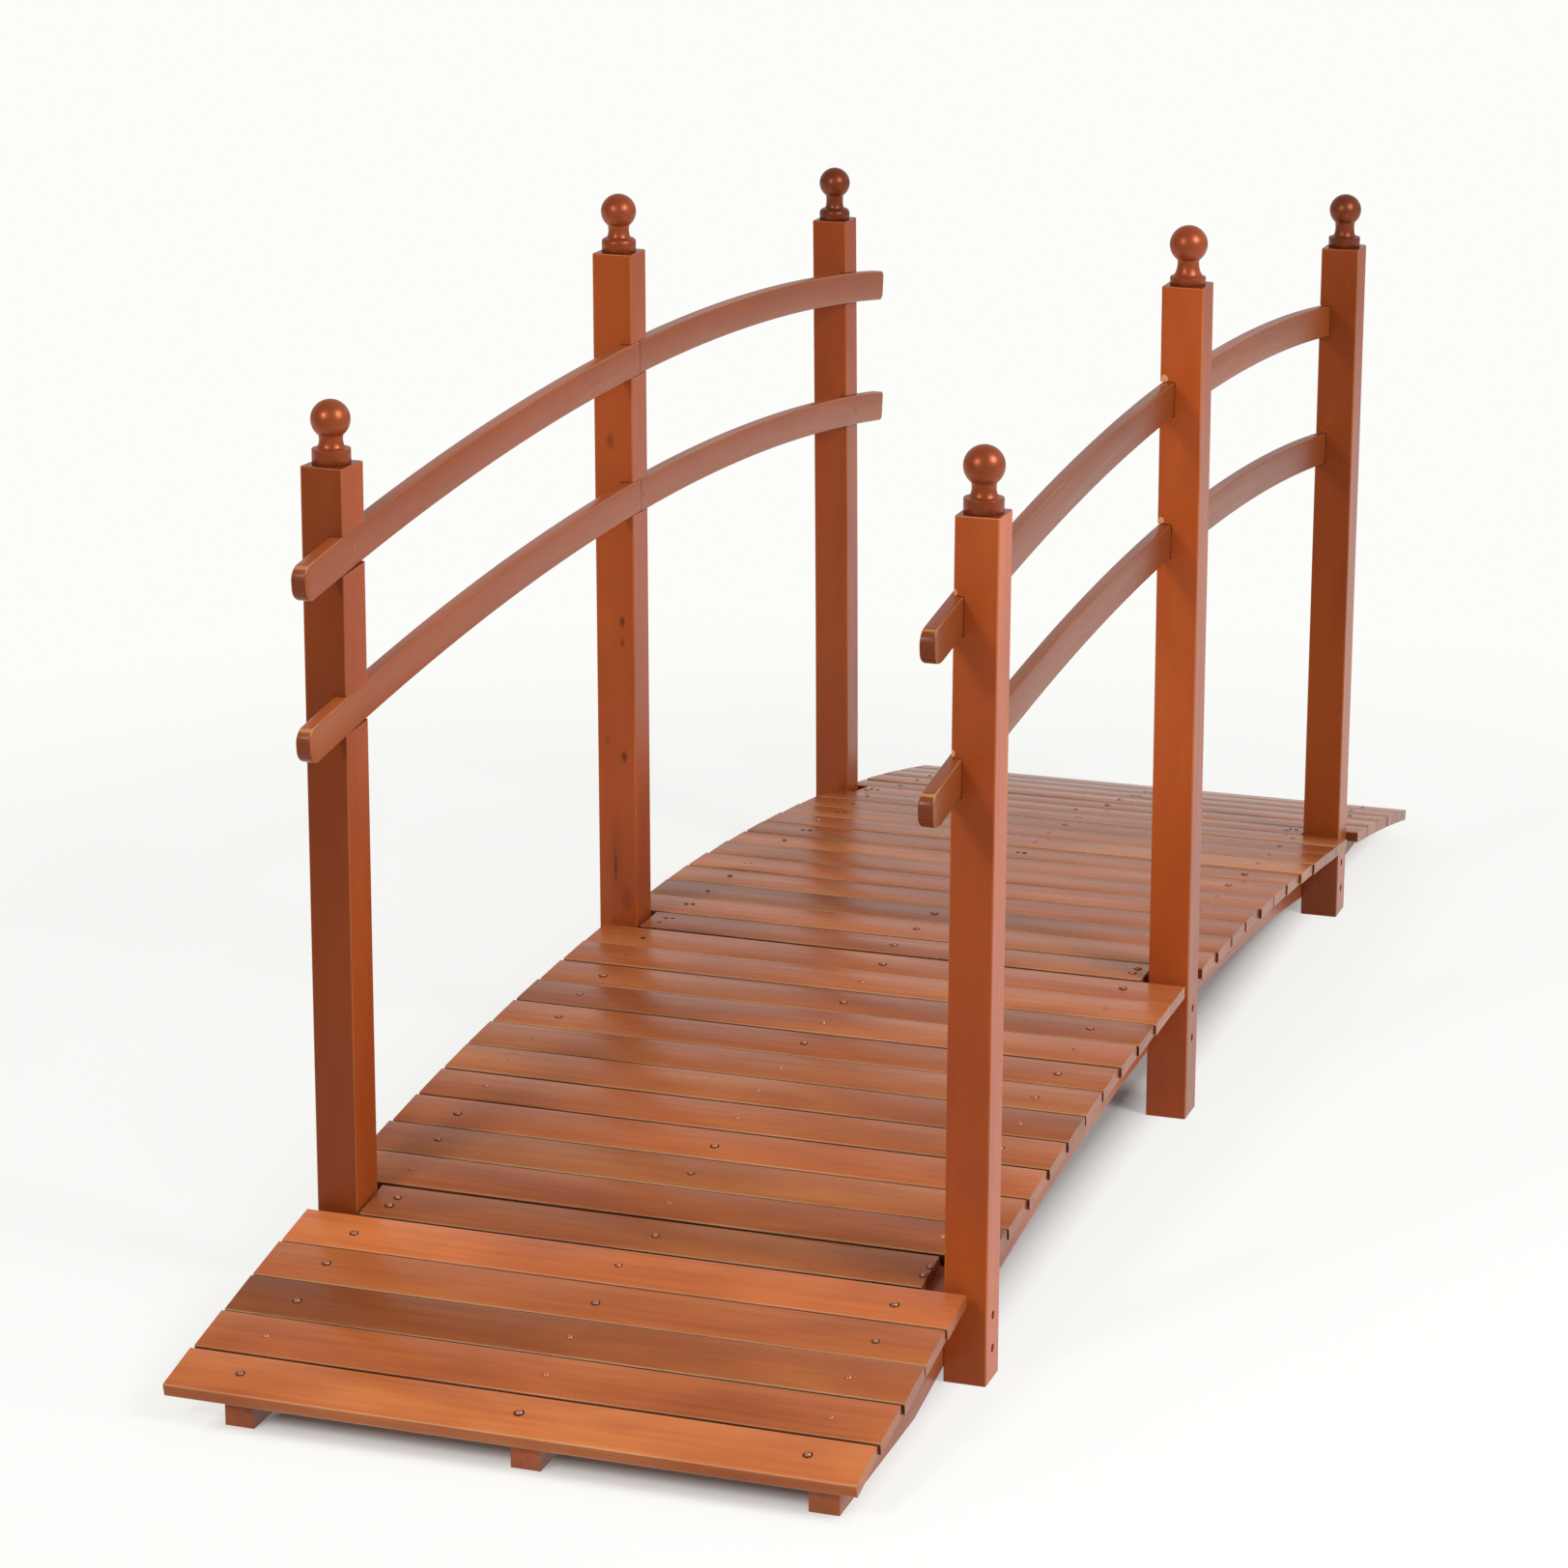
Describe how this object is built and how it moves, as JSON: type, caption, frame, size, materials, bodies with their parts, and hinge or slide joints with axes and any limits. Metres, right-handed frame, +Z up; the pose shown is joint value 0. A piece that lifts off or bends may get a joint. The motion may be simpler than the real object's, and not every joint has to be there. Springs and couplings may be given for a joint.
{
  "type": "wooden garden bridge",
  "caption": "Arched wooden garden footbridge: plank deck on curved stringers, square posts with turned ball finials and double curved handrails.",
  "frame": {"origin": "on the ground under the crown of the arch, midway between the two rows of posts", "axes": "+X across the bridge to the right, +Y along it from the near end to the far end, +Z up"},
  "size_m": [0.7862, 2.4352, 1.079],
  "materials": {
    "post_wood": "satin red-brown stain",
    "finial_wood": "gloss red-brown stain",
    "rail_wood": "satin red-brown stain",
    "stringer_wood": "satin dark red-brown stain",
    "deck_wood": "semi-gloss red-brown stain"
  },
  "bodies": {
    "root": {"deck_boards_far_bay": "deck_wood", "deck_boards_far_ramp": "deck_wood", "deck_boards_near_bay": "deck_wood", "deck_boards_near_ramp": "deck_wood", "finial_far_left": "finial_wood", "finial_far_right": "finial_wood", "finial_middle_left": "finial_wood", "finial_middle_right": "finial_wood", "finial_near_left": "finial_wood", "finial_near_right": "finial_wood", "post_far_left": "post_wood", "post_far_right": "post_wood", "post_middle_left": "post_wood", "post_middle_right": "post_wood", "post_near_left": "post_wood", "post_near_right": "post_wood", "rail_lower_left_far": "rail_wood", "rail_lower_left_near": "rail_wood", "rail_lower_right_far": "rail_wood", "rail_lower_right_near": "rail_wood", "rail_upper_left_far": "rail_wood", "rail_upper_left_near": "rail_wood", "rail_upper_right_far": "rail_wood", "rail_upper_right_near": "rail_wood", "short_board_far": "deck_wood", "short_board_middle": "deck_wood", "short_board_near": "deck_wood", "stringer_left": "stringer_wood", "stringer_middle": "stringer_wood", "stringer_right": "stringer_wood"}
  },
  "joints": []
}
